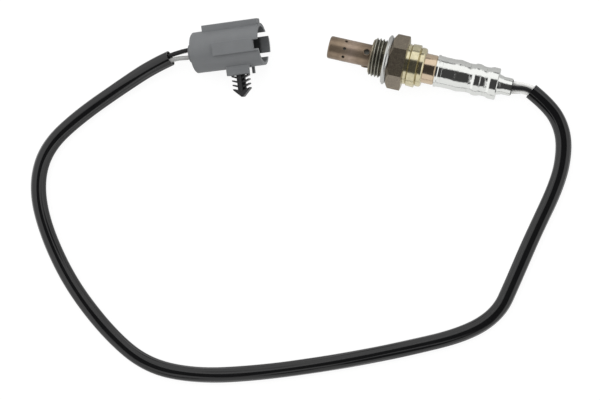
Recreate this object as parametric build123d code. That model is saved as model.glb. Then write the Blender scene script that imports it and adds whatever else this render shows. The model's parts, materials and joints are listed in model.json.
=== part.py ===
"""Heated four-wire oxygen sensor with its lead, plug and mounting clip, lying on a bench.

Millimetres, +Z up, the bench at Z = 0. The origin is on the bench under the middle of the
sensor. The sensor is built along +X, tip first, and then laid down; it rests on the rear
edge of its hexagon and on the rear end of its can. The plug is built along its own +X, back
end first, and rests on its back rim and on its latch nib.
"""

import math
import os
from build123d import *

os.makedirs("parts", exist_ok=True)

# Fits
FIT = 0.05  # radial clearance between pressed or packed pieces
SLIP = 0.1  # clearance of a piece that slides in

# Protection tubes
TUBE_RADIUS = 5.2
TUBE_WALL = 0.5
TUBE_REACH = 19.8  # from the tip to the front of the shell
TUBE_NOSE = 0.8  # rounding of the drawn nose
INNER_TUBE_RADIUS = 3.9
INNER_TUBE_WALL = 0.4
INNER_TUBE_START = 2.2
FLANGE_OVERHANG = 1.1  # how far the tubes' flanges and the element's collar stand past the tube

GAS_HOLE_RADIUS = 0.72
GAS_HOLE_STATION = 7.6
GAS_HOLE_COUNT = 8
GAS_HOLE_TURN = -9.0  # degrees about X from the top
VENT_RADIUS = 1.35
VENT_STATION = 17.9
VENT_COUNT = 3
VENT_TURN = -16.0
VENT_LIP = 0.35  # width and height of the pierced rim round a vent
INNER_SLOT_RADIUS = 0.8
INNER_SLOT_STATION = 12.5
INNER_SLOT_COUNT = 6

# Shell: thread, gasket neck, hexagon, collar and rolled lip
THREAD_RADIUS = 9.0  # M18 x 1.5
THREAD_LENGTH = 5.75
THREAD_LEAD_IN = 1.4
RELIEF_RADIUS = 8.2
RELIEF_WIDTH = 0.95
NECK_RADIUS = 8.7
GASKET_THICKNESS = 1.9
GASKET_FLOAT = 0.5  # bare neck between the gasket and the hexagon
GASKET_WIDTH = 2.8  # from the neck to the crest
GASKET_STEP = 0.8  # from the crest in to the flat face
GASKET_FOLD = 0.3  # how far a fold's root stands past the flat face
GASKET_CREST = 0.2  # how far the crest stands past the folds
GASKET_BEVEL = 0.4  # clears the thread in front
HEX_FLATS = 22.0
HEX_LENGTH = 7.3
HEX_FRONT_CHAMFER = 1.2
HEX_REAR_CHAMFER = 0.45
COLLAR_NECK_LENGTH = 1.45
COLLAR_NECK_RADIUS = 9.35
COLLAR_LENGTH = 4.4
COLLAR_FRONT_RADIUS = 9.75
COLLAR_REAR_RADIUS = 9.95
COLLAR_GROOVE = 0.35
LIP_LENGTH = 2.9
LIP_RADIUS = 9.05
LIP_ROUNDING = 1.2
SEAT_DEPTH = 4.0  # from the shell's front to the ledge that carries the tubes

# Stack inside the shell
WASHER_THICKNESS = 0.5
ELEMENT_COLLAR_LENGTH = 4.5
TALC_LENGTH = 5.0
BUSHING_LENGTH = 6.4
CRIMP_RING_THICKNESS = 0.9
ELEMENT_TIP_RADIUS = 2.3
ELEMENT_STEM_RADIUS = 3.0
ELEMENT_REAR_RADIUS = 3.6
ELEMENT_TIP_STATION = 5.2
ELEMENT_REAR_REACH = 6.2  # past the bushing
ELEMENT_BORE_RADIUS = 1.5
ELEMENT_SOCKET_RADIUS = 2.15
ELEMENT_SOCKET_DEPTH = 4.5
HEATER_RADIUS = 1.4
HEATER_OVERHANG = 10.5  # past the element's rear end

# Inner sleeve and outer can
SLEEVE_RADIUS = 6.9
SLEEVE_WALL = 0.45
SLEEVE_BARE_LENGTH = 5.55  # seen between the rolled lip and the can
SLEEVE_INSERT = 12.8  # hidden in the can
CAN_WALL = 0.45
CAN_RADIUS = 7.05
CAN_BULGE_RADIUS = 7.4
CAN_WAIST_RADIUS = 6.75
CAN_MOUTH_RADIUS = 7.45
CAN_STEP = 0.13
CAN_SOFTENING = 0.12  # how far a bulge or a waist is rounded off
CAN_EDGE = 0.4
CAN_LENGTH = 28.9  # from its mouth to its shoulder
CAN_NECK_RADIUS = 4.1
CAN_CONE_RADIUS = 4.8
CAN_CONE_LENGTH = 2.5
CAN_NECK_LENGTH = 3.9
WAIST_ONE = 15.4  # from the can's mouth
WAIST_TWO = 22.8
DENT_COUNT = 6
DENT_TURN = 7.0  # degrees about X from the top
DENT_DEPTH = 0.4
DENT_RUN = 2.6  # from the waist back to where the dent runs out

# Terminal insulator, contacts and grommet
INSULATOR_RADIUS = 5.9
INSULATOR_FRONT = 11.2  # ahead of the inner sleeve's rear end
INSULATOR_CUP_DEPTH = 7.0
INSULATOR_CUP_RADIUS = 4.4
INSULATOR_FLANGE = 1.0
INSULATOR_REAR = 4.0
INSULATOR_REAR_RADIUS = 5.2
CHANNEL_RADIUS = 1.2
CHANNEL_CIRCLE = 2.0  # the four wires' distance from the axis
SPRING_HEIGHT = 1.2
SPRING_THICKNESS = 0.4
STRIP_THICKNESS = 0.35
STRIP_WIDTH = 1.2
BARREL_LENGTH = 4.4
GROMMET_PROUD = 0.3

# Wires and their braided sleeve
WIRE_RADIUS = 1.0
BUNDLE_CIRCLE = 1.6  # the wires' distance from the middle of the sleeve
HARNESS_RADIUS = 3.5
HARNESS_WALL = 0.5

# Plug
PLUG_LENGTH = 33.0
PLUG_REAR_RADIUS = 9.55
PLUG_MOUTH_RADIUS = 9.85
PLUG_WALL = 1.5
PLUG_EDGE = 0.5
SEAL_RADIUS = 6.0
SEAL_LENGTH = 7.0
RETAINER_RADIUS = 4.5
RETAINER_PROUD = 2.3
RETAINER_PLATE = 1.5
RETAINER_EDGE = 0.4
WEB_THICKNESS = 3.5
LOCK_THICKNESS = 2.5
LOCK_RADIUS = 5.6
PIN_PITCH = 3.7
PIN_WIDTH = 1.5
PIN_REACH = 12.0  # past the web
PIN_SHANK_RADIUS = 0.95
KEY_WIDTH = 6.1
KEY_START = 11.3
KEY_PROUD = 0.85
NOTCH_WIDTH = 4.3
NOTCH_DEPTH = 2.2
TONGUE_WIDTH = 7.6
TONGUE_PROUD = 0.9
LATCH_SLOT_WIDTH = 2.0
LATCH_SLOT_LENGTH = 16.0
NIB_WIDTH = 4.4
NIB_HEIGHT = 1.3
NIB_STATION = 30.2
NIB_RAMP = 4.0
RAIL_START = 5.4
RAIL_END_GAP = 1.0
RAIL_WIDTH = 6.0
RAIL_REACH = 12.1
RAIL_SLOT_WIDTH = 3.8
RAIL_SLOT_HEIGHT = 1.1
RAIL_SLOT_LENGTH = 16.0
DOCK_START = 15.2
DOCK_LENGTH = 11.6
DOCK_WIDTH = 8.8
DOCK_REACH = 12.85
DOCK_SLOT = 3.5
DOCK_THROAT = 6.0  # taller end of the slot, towards the mouth
DOCK_BAR = 1.2  # crosses the lower wall's end
DOCK_WINDOW = 1.5  # open through the lower wall, behind the bar
DOCK_LIP = 0.7  # how far the upper wall stops short
DOCK_WALL = 1.5
LUG_STATION = 20.7
LUG_LENGTH = 5.8
LUG_WIDTH = 5.0
LUG_THICKNESS = 1.1

# Fir-tree clip
BARB_LEVELS = 4
BARB_PITCH = 2.05
BARB_REACH = 4.0
BARB_SWEEP = 1.3
BARB_THICKNESS = 0.6
BARB_DEPTH = 4.0
STEM_WIDTH = 4.0
RIB_WIDTH = 1.4
RIB_DEPTH = 5.2
NOSE_LENGTH = 4.1

# Where the plug lies: the middle of its back end, and its heading from +X
PLUG_PLACE = (-105.3, -16.6)
PLUG_HEADING = 19.8

# The sleeve's route from the sensor to the plug, corner by corner
HARNESS_ROUTE = [
    (51.7, 0.3, 6.2),
    (61.0, -4.3, 5.2),
    (68.5, -12.2, 4.2),
    (72.2, -22.2, 3.5),
    (72.9, -37.7, 3.5),
    (67.1, -63.6, 3.5),
    (62.7, -87.7, 3.5),
    (59.7, -102.7, 3.5),
    (47.4, -115.6, 3.5),
    (20.0, -129.7, 3.5),
    (-9.9, -143.4, 3.5),
    (-42.9, -156.5, 3.5),
    (-72.8, -165.6, 3.5),
    (-97.8, -166.6, 3.5),
    (-120.3, -155.3, 3.5),
    (-144.4, -135.6, 3.5),
    (-162.5, -111.3, 3.5),
    (-169.4, -93.0, 3.5),
    (-167.8, -76.0, 3.5),
    (-156.1, -59.0, 3.5),
    (-135.7, -37.7, 4.6),
    (-124.4, -27.1, 6.7),
    (-116.7, -21.5, 8.0),
]
MOUTH_DEPTH = 5.0  # how far the sleeve is hollow at each end
TURN_IN = 2.0  # ahead of the mouth, where the wires turn in to it
ARC_SHARE = 0.45  # of the shorter run, on each side of a corner
EXIT_ARC = 6.0  # the wires' small bends where they leave rubber

# Stations along the sensor's axis, from the tip
shell_front = TUBE_REACH
thread_end = shell_front + THREAD_LENGTH
neck_start = thread_end + RELIEF_WIDTH
hex_front = neck_start + GASKET_THICKNESS + GASKET_FLOAT
hex_rear = hex_front + HEX_LENGTH
collar_front = hex_rear + COLLAR_NECK_LENGTH
collar_rear = collar_front + COLLAR_LENGTH
shell_rear = collar_rear + LIP_LENGTH

seat = shell_front + SEAT_DEPTH
inner_flange = seat + TUBE_WALL
washer_front = inner_flange + INNER_TUBE_WALL
element_front = washer_front + WASHER_THICKNESS
talc_front = element_front + ELEMENT_COLLAR_LENGTH
bushing_front = talc_front + TALC_LENGTH
ring_front = bushing_front + BUSHING_LENGTH
sleeve_front = ring_front + CRIMP_RING_THICKNESS
lip_front = sleeve_front + SLEEVE_WALL
element_rear = ring_front + ELEMENT_REAR_REACH
heater_rear = element_rear + HEATER_OVERHANG

can_front = shell_rear + SLEEVE_BARE_LENGTH
sleeve_rear = can_front + SLEEVE_INSERT
can_shoulder = can_front + CAN_LENGTH
can_neck = can_shoulder + CAN_CONE_LENGTH
can_rear = can_neck + CAN_NECK_LENGTH
insulator_front = sleeve_rear - INSULATOR_FRONT
cup_floor = insulator_front + INSULATOR_CUP_DEPTH
insulator_rear = sleeve_rear + INSULATOR_FLANGE + INSULATOR_REAR
grommet_front = insulator_rear + SPRING_HEIGHT
grommet_rear = can_rear + GROMMET_PROUD
wire_start = cup_floor + BARREL_LENGTH

# Radii that other sizes set
pocket_radius = TUBE_RADIUS + FLANGE_OVERHANG + FIT
lip_pocket_radius = SLEEVE_RADIUS + 0.9
insert_radius = CAN_RADIUS - CAN_WALL - 2 * FIT
dent_inner_radius = CAN_WAIST_RADIUS - DENT_DEPTH - CAN_WALL / 2
gasket_radius = NECK_RADIUS + GASKET_WIDTH
gasket_face = gasket_radius - GASKET_STEP
wall_slope = (PLUG_MOUTH_RADIUS - PLUG_REAR_RADIUS) / PLUG_LENGTH

# The four wires, clockwise seen along the lead: name, then direction from the axis (Y, Z)
WIRES = {
    "black_lead": (0, 1),
    "white_lead_a": (-1, 0),
    "grey_lead": (0, -1),
    "white_lead_b": (1, 0),
}


def turned(points, radii=None):
    """Revolve (station, radius) corners about X; radii round the corners, one for each."""
    if radii:
        outline = FilletPolyline(*points, radius=radii, close=True)
    else:
        outline = Polyline(*points, close=True)
    return revolve(make_face(outline), Axis.X)


def ring(start, end, outer, inner=0.0):
    """A plain ring, or a rod, between two stations."""
    return turned([(start, inner), (start, outer), (end, outer), (end, inner)])


def block(start, end, left, right, low, high):
    """A box by its limits along X, Y and Z."""
    size = (end - start, right - left, high - low)
    middle = ((start + end) / 2, (left + right) / 2, (low + high) / 2)
    return Pos(*middle) * Box(*size)


def radial_tools(count, turn, station, radius, reach):
    """Round punches that point outwards from the axis, evenly round it."""
    punch = Pos(station, 0, reach / 2) * Cylinder(radius, reach)
    return [Rot(X=turn + 360 * k / count) * punch for k in range(count)]


# ---- Sensor, front end


def make_outer_protection_tube():
    """Drawn cap with gas holes near its nose and pierced, lipped vents near the shell."""
    inside = TUBE_RADIUS - TUBE_WALL
    flange = TUBE_RADIUS + FLANGE_OVERHANG
    cap = turned(
        [
            (0, 0),
            (0, TUBE_RADIUS),
            (seat, TUBE_RADIUS),
            (seat, flange),
            (inner_flange, flange),
            (inner_flange, inside),
            (TUBE_WALL, inside),
            (TUBE_WALL, 0),
        ],
        [0, TUBE_NOSE, 0, 0, 0, 0, 0, 0],
    )
    rims = radial_tools(
        VENT_COUNT, VENT_TURN, VENT_STATION, VENT_RADIUS + VENT_LIP, TUBE_RADIUS + VENT_LIP
    )
    core = ring(0, inner_flange, inside)
    for rim in rims:
        cap += rim - core
    for punch in radial_tools(VENT_COUNT, VENT_TURN, VENT_STATION, VENT_RADIUS, 2 * TUBE_RADIUS):
        cap -= punch
    holes = radial_tools(
        GAS_HOLE_COUNT, GAS_HOLE_TURN, GAS_HOLE_STATION, GAS_HOLE_RADIUS, 2 * TUBE_RADIUS
    )
    for punch in holes:
        cap -= punch
    return cap


def make_inner_protection_tube():
    """Second cap round the element, its holes away from those of the outer one."""
    inside = INNER_TUBE_RADIUS - INNER_TUBE_WALL
    flange = TUBE_RADIUS + FLANGE_OVERHANG
    nose = INNER_TUBE_START
    cap = turned(
        [
            (nose, 0),
            (nose, INNER_TUBE_RADIUS),
            (inner_flange, INNER_TUBE_RADIUS),
            (inner_flange, flange),
            (washer_front, flange),
            (washer_front, inside),
            (nose + INNER_TUBE_WALL, inside),
            (nose + INNER_TUBE_WALL, 0),
        ]
    )
    turn = 180 / INNER_SLOT_COUNT
    punches = radial_tools(
        INNER_SLOT_COUNT, turn, INNER_SLOT_STATION, INNER_SLOT_RADIUS, 2 * INNER_TUBE_RADIUS
    )
    for punch in punches:
        cap -= punch
    return cap


def make_sensing_element():
    """Closed ceramic thimble with its sealing collar and a socket for the inner contact."""
    collar = TUBE_RADIUS + FLANGE_OVERHANG
    tip = ELEMENT_TIP_STATION
    bottom = tip + ELEMENT_TIP_RADIUS - ELEMENT_BORE_RADIUS
    socket = element_rear - ELEMENT_SOCKET_DEPTH
    return turned(
        [
            (tip, 0),
            (tip, ELEMENT_TIP_RADIUS / 2),
            (tip + ELEMENT_TIP_RADIUS / 2, ELEMENT_TIP_RADIUS),
            (washer_front, ELEMENT_STEM_RADIUS),
            (element_front, ELEMENT_STEM_RADIUS),
            (element_front, collar),
            (talc_front, collar),
            (talc_front + WASHER_THICKNESS, ELEMENT_REAR_RADIUS),
            (element_rear, ELEMENT_REAR_RADIUS),
            (element_rear, ELEMENT_SOCKET_RADIUS),
            (socket, ELEMENT_SOCKET_RADIUS),
            (socket, ELEMENT_BORE_RADIUS),
            (bottom, ELEMENT_BORE_RADIUS),
            (bottom, 0),
        ]
    )


def make_heater_rod():
    """Ceramic heater that stands in the thimble."""
    start = ELEMENT_TIP_STATION + ELEMENT_TIP_RADIUS - ELEMENT_BORE_RADIUS + SLIP
    return ring(start, heater_rear, HEATER_RADIUS)


def make_hexagon():
    """Spanner hexagon with a flat up, chamfered at both ends."""
    across = HEX_FLATS / 2
    corner = HEX_FLATS / math.sqrt(3)
    section = Plane.YZ * RegularPolygon(radius=corner, side_count=6)
    prism = Pos(hex_front, 0, 0) * extrude(section, amount=HEX_LENGTH)
    envelope = turned(
        [
            (hex_front, 0),
            (hex_front, across),
            (hex_front + HEX_FRONT_CHAMFER, corner),
            (hex_rear - HEX_REAR_CHAMFER, corner),
            (hex_rear, across),
            (hex_rear, 0),
        ]
    )
    return prism & envelope


def make_threaded_shell():
    """Turned steel shell: thread crest, gasket neck, hexagon, collar and rolled lip."""
    bore = TUBE_RADIUS + FIT
    sleeve_bore = SLEEVE_RADIUS + FIT
    turning = turned(
        [
            (shell_front, bore),
            (shell_front, THREAD_RADIUS - THREAD_LEAD_IN),
            (shell_front + THREAD_LEAD_IN, THREAD_RADIUS),
            (thread_end, THREAD_RADIUS),
            (thread_end, RELIEF_RADIUS),
            (neck_start, RELIEF_RADIUS),
            (neck_start, NECK_RADIUS),
            (hex_rear, NECK_RADIUS),
            (hex_rear, COLLAR_NECK_RADIUS),
            (collar_front, COLLAR_NECK_RADIUS),
            (collar_front, COLLAR_NECK_RADIUS - COLLAR_GROOVE),
            (collar_front + COLLAR_GROOVE, COLLAR_NECK_RADIUS - COLLAR_GROOVE),
            (collar_front + COLLAR_GROOVE, COLLAR_FRONT_RADIUS),
            (collar_rear, COLLAR_REAR_RADIUS),
            (collar_rear, LIP_RADIUS),
            (shell_rear, LIP_RADIUS),
            (shell_rear, sleeve_bore),
            (lip_front, sleeve_bore),
            (lip_front, lip_pocket_radius),
            (ring_front - WASHER_THICKNESS, lip_pocket_radius),
            (ring_front - WASHER_THICKNESS, pocket_radius),
            (seat, pocket_radius),
            (seat, bore),
        ],
        15 * [0] + [LIP_ROUNDING] + 7 * [0],
    )
    return turning + (make_hexagon() - ring(hex_front, hex_rear, NECK_RADIUS))


def make_sealing_gasket():
    """Crushed folded-metal gasket, captive on the neck in front of the hexagon."""
    front = neck_start
    rear = neck_start + GASKET_THICKNESS
    fold = GASKET_THICKNESS / 4
    root = gasket_face + GASKET_FOLD
    shoulder = gasket_radius - GASKET_CREST
    return turned(
        [
            (front + GASKET_BEVEL, NECK_RADIUS + FIT),
            (front, THREAD_RADIUS + SLIP),
            (front, gasket_face),
            (front + fold, root),
            (front + fold, shoulder),
            (front + 1.5 * fold, gasket_radius),
            (rear - 1.5 * fold, gasket_radius),
            (rear - fold, shoulder),
            (rear - fold, root),
            (rear, gasket_face),
            (rear, NECK_RADIUS + FIT),
        ]
    )


# ---- Sensor, stack inside the shell


def make_element_seat_washer():
    """Soft washer between the tubes' flanges and the element's collar."""
    return ring(washer_front, element_front, TUBE_RADIUS + FLANGE_OVERHANG, INNER_TUBE_RADIUS)


def make_talc_ring():
    """Packed powder that seals the element in the shell."""
    outer = pocket_radius - FIT
    inner = ELEMENT_REAR_RADIUS + FIT
    return turned(
        [
            (talc_front + FIT, outer),
            (bushing_front, outer),
            (bushing_front, inner),
            (talc_front + WASHER_THICKNESS + FIT, inner),
        ]
    )


def make_ceramic_bushing():
    """Steatite bushing that packs the powder."""
    outer = pocket_radius - FIT
    edge = 0.4
    return turned(
        [
            (bushing_front, ELEMENT_REAR_RADIUS + FIT),
            (bushing_front, outer),
            (ring_front - edge, outer),
            (ring_front, outer - edge),
            (ring_front, ELEMENT_REAR_RADIUS + FIT),
        ]
    )


def make_crimp_ring():
    """Steel ring that takes the pressure of the rolled lip."""
    return ring(ring_front, sleeve_front, lip_pocket_radius - FIT, ELEMENT_REAR_RADIUS + 4 * FIT)


# ---- Sensor, rear end


def make_inner_sleeve():
    """Flanged metal sleeve held by the rolled lip; its rear end steps down into the can."""
    bore = SLEEVE_RADIUS - SLEEVE_WALL
    step = SLEEVE_WALL
    return turned(
        [
            (sleeve_front, bore),
            (sleeve_front, lip_pocket_radius - FIT),
            (lip_front, lip_pocket_radius - FIT),
            (lip_front, SLEEVE_RADIUS),
            (can_front - 2 * step, SLEEVE_RADIUS),
            (can_front, insert_radius),
            (sleeve_rear, insert_radius),
            (sleeve_rear, insert_radius - SLEEVE_WALL),
            (can_front - step, insert_radius - SLEEVE_WALL),
            (can_front - 3 * step, bore),
        ]
    )


def make_outer_can():
    """Deep-drawn can, bulged between two crimped waists that each carry six jaw dents."""
    waist, bulge, plain = CAN_WAIST_RADIUS, CAN_BULGE_RADIUS, CAN_RADIUS
    step = plain + CAN_STEP
    one = can_front + WAIST_ONE
    two = can_front + WAIST_TWO
    bore = plain - CAN_WALL
    neck = CAN_NECK_RADIUS - CAN_WALL
    soft = CAN_BULGE_RADIUS - CAN_SOFTENING
    can = turned(
        [
            (can_front, bore),
            (can_front, CAN_MOUTH_RADIUS),
            (can_front + 0.9, CAN_MOUTH_RADIUS),
            (can_front + 1.3, step),
            (can_front + 2.8, step),
            (can_front + 2.9, plain),
            (can_front + 8.0, plain),
            (can_front + 9.6, soft),
            (can_front + 10.6, bulge),
            (one - 4.2, soft),
            (one - 1.6, waist + CAN_SOFTENING),
            (one - 0.6, waist),
            (one + 0.6, waist),
            (one + 1.6, waist + CAN_SOFTENING),
            (one + 2.5, soft),
            (one + 3.3, bulge),
            (two - 3.6, bulge),
            (two - 2.6, soft),
            (two - 1.5, waist + CAN_SOFTENING),
            (two - 0.6, waist),
            (two + 0.6, waist),
            (two + 1.5, waist + CAN_SOFTENING),
            (two + 2.4, soft),
            (two + 3.3, bulge),
            (can_shoulder - CAN_EDGE, bulge),
            (can_shoulder, bulge - CAN_EDGE),
            (can_shoulder, CAN_CONE_RADIUS),
            (can_neck, CAN_NECK_RADIUS),
            (can_rear, CAN_NECK_RADIUS),
            (can_rear, neck),
            (can_neck - CAN_WALL, neck),
            (can_shoulder - CAN_WALL, CAN_CONE_RADIUS - CAN_WALL),
            (can_shoulder - CAN_WALL, bore),
            (two + 1.8, bore),
            (two + 0.8, dent_inner_radius),
            (one - 1.0, dent_inner_radius),
            (one - 2.0, bore),
        ]
    )
    for station in (one, two):
        profile = Polyline(
            (station, waist - DENT_DEPTH),
            (station + DENT_RUN, bulge),
            (station + DENT_RUN, bulge + DENT_RUN),
            (station - DENT_DEPTH, bulge + DENT_RUN),
            close=True,
        )
        jaw = extrude(Plane.XZ * make_face(profile), amount=waist / 2, both=True)
        for k in range(DENT_COUNT):
            can -= Rot(X=DENT_TURN + 360 * k / DENT_COUNT) * jaw
    return can


def channel_tools(start, end, radius):
    """One rod for each wire, parallel to the axis."""
    rod = ring(start, end, radius)
    return [Pos(0, CHANNEL_CIRCLE * y, CHANNEL_CIRCLE * z) * rod for y, z in WIRES.values()]


def make_terminal_insulator():
    """Ceramic holder with a cup for the contacts and a channel for each wire."""
    flange_end = sleeve_rear + INSULATOR_FLANGE
    holder = turned(
        [
            (insulator_front, INSULATOR_CUP_RADIUS),
            (insulator_front, INSULATOR_RADIUS),
            (sleeve_rear, INSULATOR_RADIUS),
            (sleeve_rear, insert_radius - SLEEVE_WALL / 2),
            (flange_end, insert_radius - SLEEVE_WALL / 2),
            (flange_end, INSULATOR_REAR_RADIUS),
            (insulator_rear, INSULATOR_REAR_RADIUS),
            (insulator_rear, 0),
            (cup_floor, 0),
            (cup_floor, INSULATOR_CUP_RADIUS),
        ]
    )
    for channel in channel_tools(cup_floor, insulator_rear, CHANNEL_RADIUS):
        holder -= channel
    return holder


def make_contact(wire, grip_start, grip_inner, grip_end):
    """A contact: a split grip or a strip along the element, joined to the wire's barrel."""
    y, z = WIRES[wire]
    turn = math.degrees(math.atan2(-y, z))
    outer = grip_inner + STRIP_THICKNESS
    half = STRIP_WIDTH / 2
    strip = block(grip_start, cup_floor, -half, half, grip_inner, outer)
    barrel_low = CHANNEL_CIRCLE - WIRE_RADIUS
    barrel_middle = Pos(0, 0, CHANNEL_CIRCLE)
    barrel = barrel_middle * ring(cup_floor - STRIP_THICKNESS, wire_start, WIRE_RADIUS)
    low = min(barrel_low, grip_inner)
    high = max(outer, CHANNEL_CIRCLE)
    leg = block(cup_floor - STRIP_THICKNESS, cup_floor, -half, half, low, high)
    contact = strip + leg + barrel
    if grip_end > grip_start:
        contact += ring(grip_start, grip_end, outer, grip_inner)
    return Rot(X=turn) * contact


def make_disc_spring():
    """Cone washer that pushes the insulator forwards, off the grommet."""
    inner = CHANNEL_CIRCLE + WIRE_RADIUS + 0.4
    outer = INSULATOR_REAR_RADIUS + 0.4
    return turned(
        [
            (insulator_rear, inner),
            (grommet_front - SPRING_THICKNESS, outer),
            (grommet_front, outer),
            (insulator_rear + SPRING_THICKNESS, inner),
        ]
    )


def make_tail_grommet():
    """Rubber plug that seals the can round the four wires."""
    waist_end = can_front + WAIST_TWO + 0.8
    neck = CAN_NECK_RADIUS - CAN_WALL - FIT
    bulge = CAN_RADIUS - CAN_WALL - FIT
    shoulder = can_shoulder - CAN_WALL - FIT
    grommet = turned(
        [
            (grommet_front, 0),
            (grommet_front, dent_inner_radius - FIT),
            (waist_end, dent_inner_radius - FIT),
            (waist_end + 1.2, bulge),
            (shoulder, bulge),
            (shoulder, CAN_CONE_RADIUS - CAN_WALL - FIT),
            (can_neck - CAN_WALL, neck),
            (grommet_rear, neck),
            (grommet_rear, 0),
        ]
    )
    for channel in channel_tools(grommet_front, grommet_rear, WIRE_RADIUS):
        grommet -= channel
    return grommet


# ---- Plug


def plug_radius(station):
    """Outside radius of the drafted body."""
    return PLUG_REAR_RADIUS + wall_slope * station


web_rear = RETAINER_PLATE + SEAL_LENGTH
web_front = web_rear + WEB_THICKNESS
nib_reach = plug_radius(NIB_STATION) + NIB_HEIGHT


def pin_places():
    """Where each wire's pin stands in the plug, a square, as (Y, Z) by the wire's name."""
    half = PIN_PITCH / 2
    return {
        "black_lead": (half, half),
        "grey_lead": (-half, half),
        "white_lead_a": (-half, -half),
        "white_lead_b": (half, -half),
    }


def pin_tools(start, end, radius):
    """One rod for each pin or wire in the plug."""
    rod = ring(start, end, radius)
    return [Pos(0, y, z) * rod for y, z in pin_places().values()]


def make_clip_dock():
    """Slotted block on the plug's side that takes the fir-tree clip's lug."""
    end = DOCK_START + DOCK_LENGTH
    half = DOCK_WIDTH / 2
    root = PLUG_REAR_RADIUS - PLUG_WALL + SLIP
    dock = block(DOCK_START, end, -DOCK_REACH, -root, -half, half)
    dock = fillet(dock.edges().filter_by(Axis.X).group_by(Axis.Y)[0], 0.4)
    floor = plug_radius(end) + SLIP
    slot = DOCK_SLOT / 2
    dock -= block(DOCK_START + DOCK_WALL, end, -DOCK_REACH, -floor, -slot, slot)
    groove = LUG_WIDTH / 2 + SLIP
    front = LUG_STATION - LUG_LENGTH / 2 - SLIP
    rear = LUG_STATION + LUG_LENGTH / 2 + SLIP
    deep = floor + LUG_THICKNESS + 2 * SLIP
    dock -= block(front, rear, -deep, -floor, -groove, groove)
    throat = DOCK_THROAT / 2
    bar = end - DOCK_BAR
    window = bar - DOCK_WINDOW
    dock -= block(window, end, -DOCK_REACH, -floor, -throat, throat)
    dock -= block(window, bar, -DOCK_REACH, -floor, -half, 0)
    dock -= block(end - DOCK_LIP, end, -DOCK_REACH, -floor, 0, half)
    return dock


def make_side_rail():
    """Hollow slide rail along the plug's other side, open at its back end."""
    half = RAIL_WIDTH / 2
    end = PLUG_LENGTH - RAIL_END_GAP
    root = PLUG_REAR_RADIUS - PLUG_WALL + SLIP
    rail = block(RAIL_START, end, root, RAIL_REACH, -half, half)
    rail = fillet(rail.edges().filter_by(Axis.X).group_by(Axis.Y)[-1], 0.5)
    floor = plug_radius(RAIL_START) + SLIP
    slot = RAIL_SLOT_WIDTH / 2
    slot_end = RAIL_START + RAIL_SLOT_LENGTH
    rail -= block(RAIL_START, slot_end, floor, floor + RAIL_SLOT_HEIGHT, -slot, slot)
    return rail


def make_latch_nib():
    """Ramped nib under the sprung tongue."""
    root = PLUG_REAR_RADIUS - SLIP
    profile = Polyline(
        (NIB_STATION - NIB_RAMP, -root),
        (NIB_STATION, -nib_reach),
        (NIB_STATION + 0.7, -nib_reach),
        (NIB_STATION + 1.2, -root),
        close=True,
    )
    face = Plane.XZ * make_face(profile)
    return extrude(face, amount=NIB_WIDTH / 2, both=True)


def make_connector_housing():
    """Moulded housing: drafted barrel with key, notch, rail, clip dock and sprung tongue."""
    end = PLUG_LENGTH
    barrel = turned(
        [
            (0, 0),
            (0, PLUG_REAR_RADIUS - PLUG_EDGE),
            (PLUG_EDGE, plug_radius(PLUG_EDGE)),
            (end, PLUG_MOUTH_RADIUS),
            (end, 0),
        ]
    )
    key_half = KEY_WIDTH / 2
    key_top = PLUG_MOUTH_RADIUS + KEY_PROUD
    key = block(KEY_START, end, -key_half, key_half, 0, key_top)
    key = fillet(key.edges().filter_by(Axis.X).group_by(Axis.Z)[-1], 0.25)
    housing = barrel + key + make_side_rail() + make_clip_dock()

    tongue_half = TONGUE_WIDTH / 2
    tongue_inner = PLUG_MOUTH_RADIUS - PLUG_WALL
    arm = ring(end - LATCH_SLOT_LENGTH, end + TONGUE_PROUD, PLUG_MOUTH_RADIUS - FIT, tongue_inner)
    sector = block(0, end + TONGUE_PROUD, -tongue_half, tongue_half, -PLUG_MOUTH_RADIUS, 0)
    housing += arm & sector
    housing += make_latch_nib()

    cavity = turned(
        [
            (web_front, 0),
            (web_front, plug_radius(web_front) - PLUG_WALL),
            (end, PLUG_MOUTH_RADIUS - PLUG_WALL),
            (end, 0),
        ]
    )
    housing -= cavity
    housing -= ring(0, web_rear, SEAL_RADIUS + FIT)
    for hole in pin_tools(web_rear, web_front, PIN_SHANK_RADIUS + FIT):
        housing -= hole
    notch = NOTCH_WIDTH / 2
    housing -= block(end - NOTCH_DEPTH, end, -notch, notch, 0, key_top)
    for side in (-1, 1):
        inner = side * tongue_half
        outer = side * (tongue_half + LATCH_SLOT_WIDTH)
        low, high = min(inner, outer), max(inner, outer)
        housing -= block(end - LATCH_SLOT_LENGTH, end, low, high, -PLUG_MOUTH_RADIUS, 0)
    return housing


def make_wire_seal():
    """Rubber seal with a hole for each wire and two lips round its edge."""
    rear = RETAINER_PLATE
    groove = SEAL_LENGTH / 5
    deep = SEAL_RADIUS - 0.6
    seal = turned(
        [
            (rear, 0),
            (rear, SEAL_RADIUS),
            (rear + groove, SEAL_RADIUS),
            (rear + 2 * groove, deep),
            (rear + 3 * groove, deep),
            (rear + 4 * groove, SEAL_RADIUS),
            (web_rear, SEAL_RADIUS),
            (web_rear, 0),
        ]
    )
    for hole in pin_tools(rear, web_rear, WIRE_RADIUS):
        seal -= hole
    return seal


def make_seal_retainer():
    """Cap that holds the seal; its boss stands out of the plug's back end."""
    cap = turned(
        [
            (-RETAINER_PROUD, 0),
            (-RETAINER_PROUD, RETAINER_RADIUS - RETAINER_EDGE),
            (RETAINER_EDGE - RETAINER_PROUD, RETAINER_RADIUS),
            (0, RETAINER_RADIUS),
            (0, SEAL_RADIUS),
            (RETAINER_PLATE, SEAL_RADIUS),
            (RETAINER_PLATE, 0),
        ]
    )
    for hole in pin_tools(-RETAINER_PROUD, RETAINER_PLATE, WIRE_RADIUS + FIT):
        cap -= hole
    return cap


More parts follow.
